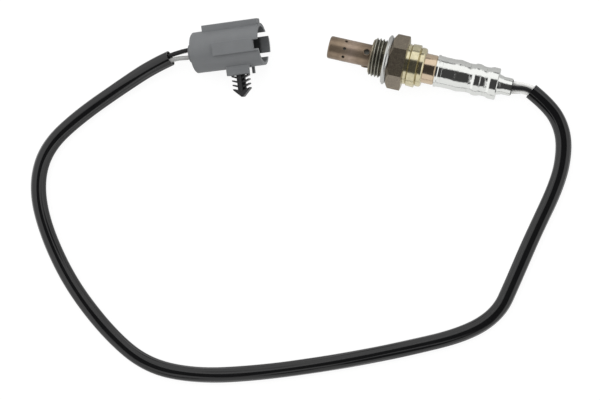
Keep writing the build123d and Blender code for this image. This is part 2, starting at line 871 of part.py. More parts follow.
def make_terminal_lock():
    """Round wedge plate in the bottom of the mouth that locks the pins."""
    lock = ring(web_front, web_front + LOCK_THICKNESS, LOCK_RADIUS)
    for hole in pin_tools(web_front, web_front + LOCK_THICKNESS, PIN_SHANK_RADIUS + FIT):
        lock -= hole
    return lock


def make_pin(wire):
    """Pin terminal: a round shank crimped to its wire and a square chamfered blade."""
    y, z = pin_places()[wire]
    half = PIN_WIDTH / 2
    blade_end = web_front + PIN_REACH
    shank = ring(web_rear, web_front + LOCK_THICKNESS, PIN_SHANK_RADIUS)
    blade = block(web_front + LOCK_THICKNESS, blade_end, -half, half, -half / 2, half / 2)
    blade = chamfer(blade.faces().sort_by(Axis.X)[-1].edges(), half / 4)
    return Pos(0, y, z) * (shank + blade)


def make_mounting_clip():
    """Fir-tree clip: lug, cross-shaped stem, four pairs of swept barbs and a pointed nose."""
    floor = plug_radius(DOCK_START + DOCK_LENGTH) + 2 * SLIP
    lug_end = floor + LUG_THICKNESS
    half_lug = LUG_LENGTH / 2
    clip = block(-half_lug, half_lug, floor, lug_end, -LUG_WIDTH / 2, LUG_WIDTH / 2)
    neck = DOCK_SLOT / 2 - SLIP
    clip += block(-STEM_WIDTH / 2, STEM_WIDTH / 2, lug_end, DOCK_REACH + SLIP, -neck, neck)
    first = DOCK_REACH + SLIP
    shoulder = first + (BARB_LEVELS - 1) * BARB_PITCH
    stem_end = shoulder + BARB_SWEEP
    stem = STEM_WIDTH / 2
    rib = RIB_WIDTH / 2
    clip += block(-stem, stem, DOCK_REACH, stem_end, -rib, rib)
    clip += block(-rib, rib, DOCK_REACH, stem_end, -RIB_DEPTH / 2, RIB_DEPTH / 2)
    outlines = []
    for level in range(BARB_LEVELS - 1):
        tip = first + level * BARB_PITCH
        for side in (-1, 1):
            outlines.append(
                [
                    (0, tip + BARB_SWEEP),
                    (side * BARB_REACH, tip),
                    (side * BARB_REACH, tip + BARB_THICKNESS),
                    (side * rib, tip + BARB_SWEEP + BARB_THICKNESS),
                    (0, tip + BARB_SWEEP + BARB_THICKNESS),
                ]
            )
    outlines.append(
        [
            (0, stem_end),
            (-BARB_REACH, shoulder),
            (-BARB_REACH, shoulder + BARB_THICKNESS),
            (-rib / 2, shoulder + NOSE_LENGTH),
            (rib / 2, shoulder + NOSE_LENGTH),
            (BARB_REACH, shoulder + BARB_THICKNESS),
            (BARB_REACH, shoulder),
        ]
    )
    for outline in outlines:
        face = make_face(Polyline(*outline, close=True))
        clip += extrude(face, amount=BARB_DEPTH / 2, both=True)
    return Pos(LUG_STATION, 0, 0) * mirror(clip, Plane.XZ)


# ---- Lead


def arc_radii(points):
    """For each inner corner of a route, the arc that takes its share of the shorter run."""
    radii = []
    for before, corner, after in zip(points, points[1:], points[2:]):
        into = Vector(*corner) - Vector(*before)
        out = Vector(*after) - Vector(*corner)
        turn = math.radians(into.get_angle(out))
        radii.append(ARC_SHARE * min(into.length, out.length) / math.tan(turn / 2))
    return radii


def swept(section, points, radii):
    """A round section carried along straight runs joined by tangent arcs."""
    path = FilletPolyline(*points, radius=radii)
    start = Plane(origin=path @ 0, z_dir=path % 0)
    return sweep(start * section, path=path), path.length


def in_place(location, point):
    """A point of a piece's own frame, carried to where the piece lies."""
    return tuple((location * Pos(*point)).position)


def mouth_place(mouth, following):
    """Where a mouth of the sleeve lies: X into the sleeve along its first run, Y level."""
    into = Vector(*following) - Vector(*mouth)
    level = Vector(-into.Y, into.X, 0)
    return Location(Plane(origin=mouth, x_dir=into, z_dir=into.cross(level)))


def make_lead(wire, sensor_place, plug_place):
    """Both visible ends of one wire: from its contact and from its pin into the sleeve."""
    y, z = WIRES[wire]
    can_y, can_z = CHANNEL_CIRCLE * y, CHANNEL_CIRCLE * z
    pin_y, pin_z = pin_places()[wire]
    gap = EXIT_ARC / 10
    first = mouth_place(*HARNESS_ROUTE[:2])
    last = mouth_place(*HARNESS_ROUTE[:-3:-1])
    from_sensor = [
        in_place(sensor_place, (wire_start, can_y, can_z)),
        in_place(sensor_place, (grommet_rear + gap, can_y, can_z)),
        in_place(first, (-TURN_IN, BUNDLE_CIRCLE * y, BUNDLE_CIRCLE * z)),
        in_place(first, (MOUTH_DEPTH, BUNDLE_CIRCLE * y, BUNDLE_CIRCLE * z)),
    ]
    square = BUNDLE_CIRCLE / math.hypot(pin_y, pin_z)
    from_plug = [
        in_place(plug_place, (web_rear, pin_y, pin_z)),
        in_place(plug_place, (-RETAINER_PROUD - gap, pin_y, pin_z)),
        in_place(last, (-TURN_IN, -square * pin_y, square * pin_z)),
        in_place(last, (MOUTH_DEPTH, -square * pin_y, square * pin_z)),
    ]
    lead = []
    for points in (from_sensor, from_plug):
        radii = [min(radius, EXIT_ARC) for radius in arc_radii(points)]
        end, length = swept(Circle(WIRE_RADIUS), points, radii)
        lead.append(end)
    return Compound(children=lead)


def make_harness_sleeve():
    """Sleeve round the four wires, solid but for the mouths that the wires come out of."""
    radii = arc_radii(HARNESS_ROUTE)
    print("sleeve arcs, mm:", [round(radius, 1) for radius in radii])
    section = Circle(HARNESS_RADIUS)
    sleeve, length = swept(section, HARNESS_ROUTE, radii)
    print("sleeve", round(length, 1), "mm; volume over section x length:",
          round(sleeve.volume / (section.area * length), 4))
    mouth = ring(-MOUTH_DEPTH, MOUTH_DEPTH, HARNESS_RADIUS - HARNESS_WALL)
    sleeve -= mouth_place(*HARNESS_ROUTE[:2]) * mouth
    sleeve -= mouth_place(*HARNESS_ROUTE[:-3:-1]) * mouth
    return sleeve


# ---- Assembly


def make_sensor():
    """Every piece of the sensor, along its own axis."""
    sensor = {
        "outer_protection_tube": make_outer_protection_tube(),
        "inner_protection_tube": make_inner_protection_tube(),
        "sensing_element": make_sensing_element(),
        "heater_rod": make_heater_rod(),
        "threaded_shell": make_threaded_shell(),
        "sealing_gasket": make_sealing_gasket(),
        "element_seat_washer": make_element_seat_washer(),
        "talc_ring": make_talc_ring(),
        "ceramic_bushing": make_ceramic_bushing(),
        "crimp_ring": make_crimp_ring(),
        "inner_sleeve": make_inner_sleeve(),
        "outer_can": make_outer_can(),
        "terminal_insulator": make_terminal_insulator(),
        "disc_spring": make_disc_spring(),
        "tail_grommet": make_tail_grommet(),
    }
    socket = element_rear - ELEMENT_SOCKET_DEPTH + SLIP
    stub = element_rear - ELEMENT_SOCKET_DEPTH / 2
    pad = heater_rear - ELEMENT_SOCKET_DEPTH
    inner_grip = HEATER_RADIUS + FIT
    outer_grip = ELEMENT_REAR_RADIUS + FIT
    sensor["signal_contact"] = make_contact("black_lead", socket, inner_grip, element_rear)
    sensor["ground_contact"] = make_contact("grey_lead", stub, outer_grip, element_rear)
    sensor["heater_contact_a"] = make_contact("white_lead_a", pad, inner_grip, 0)
    sensor["heater_contact_b"] = make_contact("white_lead_b", pad, inner_grip, 0)
    return sensor


def make_plug():
    """Every piece of the plug, along its own axis."""
    plug = {
        "connector_housing": make_connector_housing(),
        "wire_seal": make_wire_seal(),
        "seal_retainer": make_seal_retainer(),
        "terminal_lock": make_terminal_lock(),
        "mounting_clip": make_mounting_clip(),
    }
    for wire in WIRES:
        plug[wire.replace("lead", "pin")] = make_pin(wire)
    return plug


def lay_sensor(sensor):
    """Where the sensor lies: on the hexagon's rear edge and the can's shoulder."""
    across = HEX_FLATS / 2
    rest_run = can_shoulder - hex_rear
    droop = math.atan2(across - CAN_BULGE_RADIUS, rest_run)
    height = across * math.cos(droop) + hex_rear * math.sin(droop)
    laid = Pos(0, 0, height) * Rot(Y=math.degrees(droop))
    extent = Compound(children=[laid * solid for solid in sensor.values()]).bounding_box()
    return Pos(-extent.center().X, 0, 0) * laid


def lay_plug():
    """Where the plug lies: on its back rim and the tip of its latch nib."""
    rim = plug_radius(PLUG_EDGE)
    lift = math.atan2(nib_reach - rim, NIB_STATION - PLUG_EDGE)
    height = rim * math.cos(lift) - PLUG_EDGE * math.sin(lift)
    spot = Pos(PLUG_PLACE[0], PLUG_PLACE[1], height)
    return spot * Rot(Z=PLUG_HEADING) * Rot(Y=-math.degrees(lift))


def main():
    sensor = make_sensor()
    plug = make_plug()
    sensor_place = lay_sensor(sensor)
    plug_place = lay_plug()
    pieces = {name: sensor_place * solid for name, solid in sensor.items()}
    pieces.update({name: plug_place * solid for name, solid in plug.items()})
    pieces["harness_sleeve"] = make_harness_sleeve()
    for wire in WIRES:
        pieces[wire] = make_lead(wire, sensor_place, plug_place)
    for name, piece in pieces.items():
        export_step(piece, f"parts/{name}.step")


if __name__ == "__main__":
    main()
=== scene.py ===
import json
import math

import bpy
from mathutils import Matrix, Vector, noise


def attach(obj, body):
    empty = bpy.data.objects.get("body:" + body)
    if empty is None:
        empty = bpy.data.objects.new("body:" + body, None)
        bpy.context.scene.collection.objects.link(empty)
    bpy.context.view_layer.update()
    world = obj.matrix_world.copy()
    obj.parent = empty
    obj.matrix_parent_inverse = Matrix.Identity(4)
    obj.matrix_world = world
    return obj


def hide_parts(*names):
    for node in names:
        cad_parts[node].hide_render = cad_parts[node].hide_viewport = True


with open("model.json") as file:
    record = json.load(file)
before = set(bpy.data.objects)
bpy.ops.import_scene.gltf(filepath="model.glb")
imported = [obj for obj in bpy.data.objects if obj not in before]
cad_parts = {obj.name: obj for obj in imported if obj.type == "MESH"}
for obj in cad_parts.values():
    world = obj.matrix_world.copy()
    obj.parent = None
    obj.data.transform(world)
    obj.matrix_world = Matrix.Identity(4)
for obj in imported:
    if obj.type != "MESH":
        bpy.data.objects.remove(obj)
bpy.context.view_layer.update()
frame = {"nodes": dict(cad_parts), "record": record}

bl_info = {
    "name": "Oxygen sensor",
    "version": (1, 0, 0),
    "blender": (4, 5, 0),
    "location": "View3D > Sidebar > Sensor",
    "description": "Builds and finishes a heated oxygen sensor with its lead and plug",
    "category": "Object",
}

MM = 0.001
NODES = frame["nodes"]


def mount(name):
    """Place and axis of one of the part's mounts."""
    for entry in frame["record"]["mounts"]:
        if entry["name"] == name:
            return Vector(entry["pos_m"]), Vector(entry["axis"])
    raise RuntimeError(f"the frame has no mount {name}")


def axes_at(point, along, left):
    """Matrix of a piece whose X runs along and whose Y points left, at a point."""
    up = along.cross(left).normalized()
    left = up.cross(along).normalized()
    turn = Matrix((along, left, up)).transposed().to_4x4()
    return Matrix.Translation(point) @ turn


# Stations along the sensor, in mm from its tip
SHELL_FRONT = 19.5
THREAD_MIDDLE = 23.375
SHELL_REAR = 45.0
GROMMET_FRONT = 83.5
GROMMET_REAR = 86.1
GROMMET_CIRCLE = 2.0  # the wires' distance from the axis there
thread_point, thread_out = mount("thread")
SENSOR = axes_at(thread_point + thread_out * THREAD_MIDDLE * MM, -thread_out, Vector((0, 1, 0)))

# Sizes of the plug in mm, with stations from its back end
PLUG_LENGTH = 33.0
PLUG_WEB = 11.5  # the mouth is hollow past this station
PLUG_DEEP_SHADE_END, PLUG_PALE_SHADE_START = 29.2, 30.4  # stations where the painted shade on the mouth's wall goes from near black to light
PLUG_BORE_RADIUS = 8.4
PLUG_CIRCLE = 1.85 * math.sqrt(2)  # the wires' distance from the axis
RETAINER_PROUD = 2.3
mouth_point, mouth_out = mount("connector")
PLUG = axes_at(mouth_point - mouth_out * PLUG_LENGTH * MM, mouth_out, -mount("clip_stem")[1])

# The sleeve's route in mm, from the sensor to the plug, as the lead's solids follow it
ROUTE = [
    (51.7, 0.3, 6.2),
    (61.0, -4.3, 5.2),
    (68.5, -12.2, 4.2),
    (72.2, -22.2, 3.5),
    (72.9, -37.7, 3.5),
    (67.1, -63.6, 3.5),
    (62.7, -87.7, 3.5),
    (59.7, -102.7, 3.5),
    (47.4, -115.6, 3.5),
    (20.0, -129.7, 3.5),
    (-9.9, -143.4, 3.5),
    (-42.9, -156.5, 3.5),
    (-72.8, -165.6, 3.5),
    (-97.8, -166.6, 3.5),
    (-120.3, -155.3, 3.5),
    (-144.4, -135.6, 3.5),
    (-162.5, -111.3, 3.5),
    (-169.4, -93.0, 3.5),
    (-167.8, -76.0, 3.5),
    (-156.1, -59.0, 3.5),
    (-135.7, -37.7, 4.6),
    (-124.4, -27.1, 6.7),
    (-116.7, -21.5, 8.0),
]
# Each wire's quarter turn round the bundle at the sensor and at the plug, anticlockwise from the top
WIRES = {"black_lead": (0, 0), "white_lead_b": (1, 1), "grey_lead": (2, 3), "white_lead_a": (3, 2)}
# The corner where the grey wire crosses the middle of the bundle and a white one passes round it
CROSSING = 11
CROSSING_HALF = 2  # corners that it takes on each side
CROSSING_CIRCLE = 0.8  # the grey wire's distance from the middle at both its ends, in mm
PASSING_CIRCLE = 2.0  # the other wires' distance from it, in mm
TWIST = math.pi / 4  # turn of the whole bundle from the sensor to the plug


# ---- Settings


class SensorSizes(bpy.types.PropertyGroup):
    """Sizes that only the dressed part has."""

    thread_pitch: bpy.props.FloatProperty(
        name="Thread pitch", description="Distance between two crests", default=1.5 * MM, unit="LENGTH"
    )
    thread_depth: bpy.props.FloatProperty(
        name="Thread depth", description="From crest to root", default=0.9 * MM, unit="LENGTH"
    )
    wire_radius: bpy.props.FloatProperty(
        name="Wire radius", description="Outside of the insulation", default=1.0 * MM, unit="LENGTH"
    )
    bundle_radius: bpy.props.FloatProperty(
        name="Bundle radius", description="From the sleeve's middle to a wire's", default=1.6 * MM,
        unit="LENGTH",
    )
    sleeve_radius: bpy.props.FloatProperty(
        name="Sleeve radius", description="Outside of the harness sleeve", default=3.55 * MM, unit="LENGTH"
    )
    sleeve_wall: bpy.props.FloatProperty(
        name="Sleeve wall", description="Thickness of the harness sleeve", default=0.5 * MM, unit="LENGTH"
    )
    crease_depth: bpy.props.FloatProperty(
        name="Crease depth", description="Depth of the sleeve's lengthwise creases", default=0.28 * MM,
        unit="LENGTH",
    )
    lap_depth: bpy.props.FloatProperty(
        name="Lap depth", description="Step at the edge where the sleeve laps over itself", default=0.42 * MM,
        unit="LENGTH",
    )


def colour(name, description, value):
    """A colour setting."""
    return bpy.props.FloatVectorProperty(
        name=name, description=description, default=value, size=3, min=0, max=1, subtype="COLOR"
    )


class SensorColours(bpy.types.PropertyGroup):
    """Base colours of the finishes."""

    tube: colour("Protection tube", "Heat-tinted steel", (0.31, 0.235, 0.165))
    shell: colour("Shell", "Dull browned plating", (0.20, 0.165, 0.13))
    collar: colour("Collar", "Pale gold plating", (0.70, 0.64, 0.43))
    gasket: colour("Gasket", "Bright folded metal", (0.60, 0.60, 0.58))
    inner_sleeve: colour("Inner sleeve", "Straw-tinted steel", (0.64, 0.51, 0.37))
    can: colour("Can", "Bright drawn steel", (0.76, 0.77, 0.745))
    thread: colour("Thread", "Worn crests of the thread", (0.48, 0.48, 0.42))
    harness: colour("Harness sleeve", "Black tubing", (0.003, 0.003, 0.0033))
    housing: colour("Plug housing", "Grey moulded plastic", (0.155, 0.161, 0.166))
    clip: colour("Clip", "Black moulded plastic", (0.014, 0.014, 0.015))
    white_wire: colour("White wires", "Insulation", (0.86, 0.86, 0.84))
    grey_wire: colour("Grey wire", "Insulation", (0.34, 0.34, 0.335))
    black_wire: colour("Black wire", "Insulation", (0.01, 0.01, 0.011))


def sizes():
    return bpy.context.scene.sensor_sizes


def colours():
    return bpy.context.scene.sensor_colours


# ---- Finishes

# Heights of fine surface detail, in metres
RING_HEIGHT = 0.04 * MM
GRIT_HEIGHT = 0.05 * MM
SCUFF_HEIGHT = 0.1 * MM
# Facets closer than this are one vertex, and edges sharper than this stay sharp
WELD_DISTANCE = 0.002 * MM
SHARP_EDGE = math.radians(28)


def new_material(name):
    """An empty material with its shader; returns material, tree and shader."""
    material = bpy.data.materials.new(name)
    material.use_nodes = True
    return material, material.node_tree, material.node_tree.nodes["Principled BSDF"]


def add(tree, kind, **inputs):
    """A node with its inputs set by name; a socket given as a value is linked."""
    node = tree.nodes.new("ShaderNode" + kind)
    for key, value in inputs.items():
        if key.startswith("_"):
            setattr(node, key[1:], value)
            continue
        socket = node.inputs[int(key[1:])] if key[0] == "i" and key[1:].isdigit() else node.inputs[key]
        if isinstance(value, bpy.types.NodeSocket):
            tree.links.new(value, socket)
        else:
            socket.default_value = value
    return node


def place_coords(tree, place):
    """Object coordinates turned and moved into a piece's own axes, in metres."""
    inverse = place.inverted()
    coords = add(tree, "TexCoord").outputs["Object"]
    mapping = add(tree, "Mapping", Vector=coords)
    mapping.inputs["Location"].default_value = inverse.to_translation()
    mapping.inputs["Rotation"].default_value = inverse.to_euler()
    return mapping.outputs["Vector"]


def stretched(tree, vector, scale):
    """Coordinates scaled by a different factor along each axis."""
    mapping = add(tree, "Mapping", Vector=vector)
    mapping.inputs["Scale"].default_value = scale
    return mapping.outputs["Vector"]


def ramp(tree, fac, stops):
    """A colour ramp; each stop is a position and a grey or a colour."""
    node = add(tree, "ValToRGB", Fac=fac)
    elements = node.color_ramp.elements
    while len(elements) < len(stops):
        elements.new(0.5)
    for element, (position, value) in zip(elements, stops):
        element.position = position
        rgb = (value,) * 3 if isinstance(value, (int, float)) else tuple(value)
        element.color = (*rgb, 1)
    return node.outputs["Color"]


def mixed(tree, fac, a, b, blend="MIX"):
    """Two colours mixed."""
    node = add(tree, "Mix", _data_type="RGBA", _blend_type=blend)
    for index, value in ((0, fac), (6, a), (7, b)):
        if isinstance(value, bpy.types.NodeSocket):
            tree.links.new(value, node.inputs[index])
        elif index == 0:
            node.inputs[index].default_value = value
        else:
            node.inputs[index].default_value = (*tuple(value)[:3], 1)
    return node.outputs[2]


def bumped(tree, shader, height, strength, distance, under=None):
    """A bump from a height, on top of another bump where one is given."""
    bump = add(tree, "Bump", Height=height, Strength=strength, Distance=distance)
    if under:
        tree.links.new(under, bump.inputs["Normal"])
    tree.links.new(bump.outputs["Normal"], shader.inputs["Normal"])


def share_between(tree, value, low, high, top=1.0):
    """How far a value has gone from low to high, from 0 to top."""
    settings = {"Value": value, "From Min": low, "From Max": high, "To Max": top}
    return add(tree, "MapRange", **settings).outputs["Result"]


def axis_distance(tree, split):
    """Distance from the X axis, of coordinates that are split."""
    across = add(tree, "CombineXYZ", Y=split.outputs["Y"], Z=split.outputs["Z"])
    return add(tree, "VectorMath", _operation="LENGTH", i0=across.outputs[0]).outputs["Value"]


def shade(value, factor):
    """A colour made darker or lighter."""
    return tuple(min(1.0, channel * factor) for channel in tuple(value)[:3])


def metal(
    name, base, place, rough=0.32, stain=0.35, grain=0.25, dark=0.55, rings=9000, spread=450, wave=0.02 * MM
):
    """Turned or drawn metal: fine rings round the axis, soft stains, a little uneven gloss and form."""
    material, tree, shader = new_material(name)
    coords = place_coords(tree, place)
    fine = add(tree, "TexNoise", Vector=stretched(tree, coords, (rings, 60, 60)), Scale=1.0, Detail=3.0)
    cloud = add(tree, "TexNoise", Vector=coords, Scale=spread, Detail=6.0, Roughness=0.65)
    stained = ramp(tree, cloud.outputs["Fac"], [(0.35, 0.0), (0.7, stain)])
    ringed = ramp(tree, fine.outputs["Fac"], [(0.3, 0.0), (0.8, grain)])
    tone = mixed(tree, ringed, mixed(tree, stained, base, shade(base, dark)), shade(base, 0.7))
    tree.links.new(tone, shader.inputs["Base Color"])
    gloss = ramp(tree, cloud.outputs["Fac"], [(0.3, rough * 0.8), (0.75, min(1.0, rough * 1.45))])
    tree.links.new(gloss, shader.inputs["Roughness"])
    shader.inputs["Metallic"].default_value = 1.0
    uneven = add(tree, "Bump", Height=cloud.outputs["Fac"], Strength=1.0, Distance=wave)
    bumped(tree, shader, fine.outputs["Fac"], 0.12, RING_HEIGHT, uneven.outputs["Normal"])
    return material


def moulded(name, base, place, rough=0.5, grain=0.35, size=5200):
    """Moulded plastic: fine spark grain and faint flow clouds."""
    material, tree, shader = new_material(name)
    coords = place_coords(tree, place)
    spark = add(tree, "TexNoise", Vector=coords, Scale=size, Detail=3.0)
    cloud = add(tree, "TexNoise", Vector=coords, Scale=160.0, Detail=4.0)
    tone = mixed(tree, cloud.outputs["Fac"], shade(base, 0.86), shade(base, 1.14))
    tone = mixed(tree, ramp(tree, spark.outputs["Fac"], [(0.4, 0.0), (0.75, 0.35)]), tone, shade(base, 0.75))
    tree.links.new(tone, shader.inputs["Base Color"])
    gloss = ramp(tree, cloud.outputs["Fac"], [(0.3, rough * 0.9), (0.7, min(1.0, rough * 1.15))])
    tree.links.new(gloss, shader.inputs["Roughness"])
    bumped(tree, shader, spark.outputs["Fac"], grain, GRIT_HEIGHT)
    return material


def ceramic(name, base, rough=0.6):
    """Pressed and fired ceramic, or pressed powder."""
    return moulded(name, base, Matrix.Identity(4), rough, 0.2, 3000)


def repaint(material, *nodes):
    """Give CAD nodes a finish, with their facets welded and shaded smooth."""
    for name in nodes:
        node = NODES[name]
        node.data.materials.clear()
        node.data.materials.append(material)
        for polygon in node.data.polygons:
            polygon.use_smooth = True
            polygon.material_index = 0
        weld = node.modifiers.new("Weld", "WELD")
        weld.merge_threshold = WELD_DISTANCE
        edges = node.modifiers.new("Sharp edges", "EDGE_SPLIT")
        edges.split_angle = SHARP_EDGE


# ---- Modelling helpers


def deselect():
    if bpy.context.object and bpy.context.object.mode != "OBJECT":
        bpy.ops.object.mode_set(mode="OBJECT")
    bpy.ops.object.select_all(action="DESELECT")


def turned(name, profile, segments=96):
    """Turn a closed loop of (station, radius) corners in mm round X, from corner to corner."""
    deselect()
    station, radius = profile[0]
    bpy.ops.mesh.primitive_circle_add(
        vertices=segments, radius=radius * MM, location=(station * MM, 0, 0), rotation=(0, math.pi / 2, 0)
    )
    piece = bpy.context.object
    piece.name = name
    bpy.ops.object.transform_apply(location=True, rotation=True, scale=True)
    bpy.ops.object.mode_set(mode="EDIT")
    bpy.ops.mesh.select_all(action="SELECT")
    for next_station, next_radius in profile[1:]:
        step = (next_station - station) * MM
        bpy.ops.mesh.extrude_region_move(TRANSFORM_OT_translate={"value": (step, 0, 0)})
        ratio = next_radius / radius
        bpy.ops.transform.resize(value=(1, ratio, ratio), center_override=(next_station * MM, 0, 0))
        station, radius = next_station, next_radius
    bpy.ops.mesh.select_all(action="DESELECT")
    bpy.ops.mesh.select_mode(type="EDGE")
    bpy.ops.mesh.select_non_manifold(extend=False)
    bpy.ops.mesh.bridge_edge_loops()
    bpy.ops.mesh.select_all(action="SELECT")
    bpy.ops.mesh.normals_make_consistent(inside=False)
    bpy.ops.object.mode_set(mode="OBJECT")
    return piece


def keep_within(piece, envelope):
    """Cut a piece back to an envelope, which is used up."""
    deselect()
    bpy.context.view_layer.objects.active = piece
    piece.select_set(True)
    modifier = piece.modifiers.new("Envelope", "BOOLEAN")
    modifier.operation = "INTERSECT"
    modifier.solver = "EXACT"
    modifier.object = envelope
    bpy.ops.object.modifier_apply(modifier=modifier.name)
    bpy.data.objects.remove(envelope, do_unlink=True)


def join(name, *pieces):
    """Several meshes made one."""
    deselect()
    for piece in pieces:
        piece.select_set(True)
    bpy.context.view_layer.objects.active = pieces[0]
    bpy.ops.object.join()
    pieces[0].name = name
    return pieces[0]


def finish_piece(piece, place, material, slot, *nodes, angle=30):
    """Lay a piece modelled along X where it belongs, with its finish, in place of CAD nodes."""
    piece.data.transform(place)
    piece.data.materials.clear()
    piece.data.materials.append(material)
    deselect()
    piece.select_set(True)
    bpy.context.view_layer.objects.active = piece
    bpy.ops.object.shade_smooth_by_angle(angle=math.radians(angle))
    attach(piece, "root")
    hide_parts(*nodes)
    return piece


# ---- Lead


def spline_curve(name, points):
    """A smooth curve with the route's points, in metres, as its control points."""
    data = bpy.data.curves.new(name, "CURVE")
    data.dimensions = "3D"
    spline = data.splines.new("NURBS")
    spline.points.add(len(points) - 1)
    for control, point in zip(spline.points, points):
        control.co = (*point, 1)
    spline.order_u = 3
    spline.use_endpoint_u = True
    spline.resolution_u = 12
    data.resolution_u = 12
    curve = bpy.data.objects.new(name, data)
    bpy.context.scene.collection.objects.link(curve)
    return curve


def smooth_line(points):
    """Points along the smooth curve through a route, in metres."""
    guide = spline_curve("guide", points)
    mesh = bpy.data.meshes.new_from_object(guide)
    line = [vertex.co.copy() for vertex in mesh.vertices]
    bpy.data.meshes.remove(mesh)
    bpy.data.objects.remove(guide, do_unlink=True)
    return line


def length_of(line):
    """Length along a line's points."""
    return sum((b - a).length for a, b in zip(line, line[1:]))


def mouth(point, following):
    """Axes at a mouth of the sleeve: X into it, Y level."""
    into = (Vector(following) - Vector(point)).normalized()
    return axes_at(Vector(point) * MM, into, Vector((-into.y, into.x, 0)).normalized())


def around(quarter, turn):
    """Direction from the bundle's middle, left and up, of a wire after a part of a turn."""
    angle = math.pi / 2 * quarter + turn
    return math.sin(angle), math.cos(angle)


def bundle_place(name, corner):
    """A wire's quarter turn and its distance from the bundle's middle, at a corner of the route."""
    before, after = WIRES[name]
    step = corner - CROSSING
    if abs(step) > CROSSING_HALF:
        return (before if step < 0 else after), sizes().bundle_radius
    if name == "grey_lead":
        return (before if step < 0 else after), CROSSING_CIRCLE * MM * max(0, abs(step) - 1)
    share = 0.5 + max(-1, min(1, step)) / 2
    return before + (after - before) * share, PASSING_CIRCLE * MM


def wire_route(name):
    """One wire's control points: out of the grommet, along the sleeve and into the plug."""
    bundle = sizes().bundle_radius
    quarter, last_quarter = WIRES[name]
    left, up = around(quarter, 0)
    out, in_sleeve = (GROMMET_FRONT, GROMMET_REAR + 0.6), (-2.0, 4.0)
    points = [SENSOR @ (Vector((x, GROMMET_CIRCLE * left, GROMMET_CIRCLE * up)) * MM) for x in out]
    first = mouth(ROUTE[0], ROUTE[1])
    points += [first @ Vector((x * MM, bundle * left, bundle * up)) for x in in_sleeve]
    corners = [Vector(corner) * MM for corner in ROUTE]
    for index in range(1, len(corners) - 1):
        quarter, reach = bundle_place(name, index)
        left, up = around(quarter, TWIST * index / (len(corners) - 1))
        along = (corners[index + 1] - corners[index - 1]).normalized()
        level = Vector((-along.y, along.x, 0)).normalized()
        points.append(corners[index] + level * reach * left + Vector((0, 0, reach * up)))
    left, up = around(last_quarter, TWIST)
    last = mouth(ROUTE[-1], ROUTE[-2])
    points += [last @ Vector((x * MM, -bundle * left, bundle * up)) for x in reversed(in_sleeve)]
    into = (-RETAINER_PROUD - 0.6, -RETAINER_PROUD + 3)
    points += [PLUG @ (Vector((x, PLUG_CIRCLE * left, PLUG_CIRCLE * up)) * MM) for x in into]
    return points


# The sleeve's slit laps over itself. Turns past its edge and shares of the step's depth there
LAP_TURNS = (0.0, 0.045, 0.09, 0.15)
LAP_SHARES = (0.12, 0.45, 0.85, 1.0)
LAP_END = 1.3  # turn past the edge where the step has run out
LAP_GAPE = 1.4  # how much deeper the step is at the first mouth
# Where round the sleeve the creases start, and half the width of one, as turns
CREASES = (0.35, 1.15, 2.8, 4.4, 5.4)
CREASE_WIDTH = 0.16


def lap_angle(distance):
    """Where round the sleeve the lap's edge runs."""
    return 2.0 + 0.3 * noise.noise((distance * 13, 4.4, 0.0))


def lap_columns():
    """Turns past the lap's edge at which the sleeve has a column of points: close there, even elsewhere."""
    first, last, count = LAP_TURNS[-1], 2 * math.pi - 0.06, 46
    return list(LAP_TURNS) + [first + (last - first) * k / count for k in range(1, count + 1)]


def lap_drop(past, distance):
    """Depth of the lap's step, at a turn past its edge."""
    if past in LAP_TURNS:
        share = LAP_SHARES[LAP_TURNS.index(past)]
    else:
        share = max(0.0, (LAP_END - past) / (LAP_END - LAP_TURNS[-1]))
    return share * sizes().lap_depth * (1 + LAP_GAPE * math.exp(-((distance / 0.03) ** 2)))


def sleeve_radius_at(past, distance):
    """The sleeve's radius at a turn past its lap: a little flat, with creases that wander along it."""
    angle = lap_angle(distance) + past
    wander = 0.7 * noise.noise((distance * 22, 0.0, 3.1))
    flat = 0.035 * math.cos(2 * angle)
    soft = 0.03 * noise.noise((math.cos(angle) * 1.1, math.sin(angle) * 1.1, distance * 45))
    crease = 0.0
    for number, start in enumerate(CREASES):
        here = start + 0.45 * noise.noise((distance * 14, number * 7.7, 0.5)) + 0.2 * wander
        gap = (angle - here + math.pi) % (2 * math.pi) - math.pi
        depth = 0.5 + 0.9 * noise.noise((distance * 30, number * 3.3, 9.0))
        crease += max(0.0, depth) * math.exp(-((gap / CREASE_WIDTH) ** 2))
    round_part = sizes().sleeve_radius * (1 + flat + soft)
    return round_part - sizes().crease_depth * crease - lap_drop(past, distance)


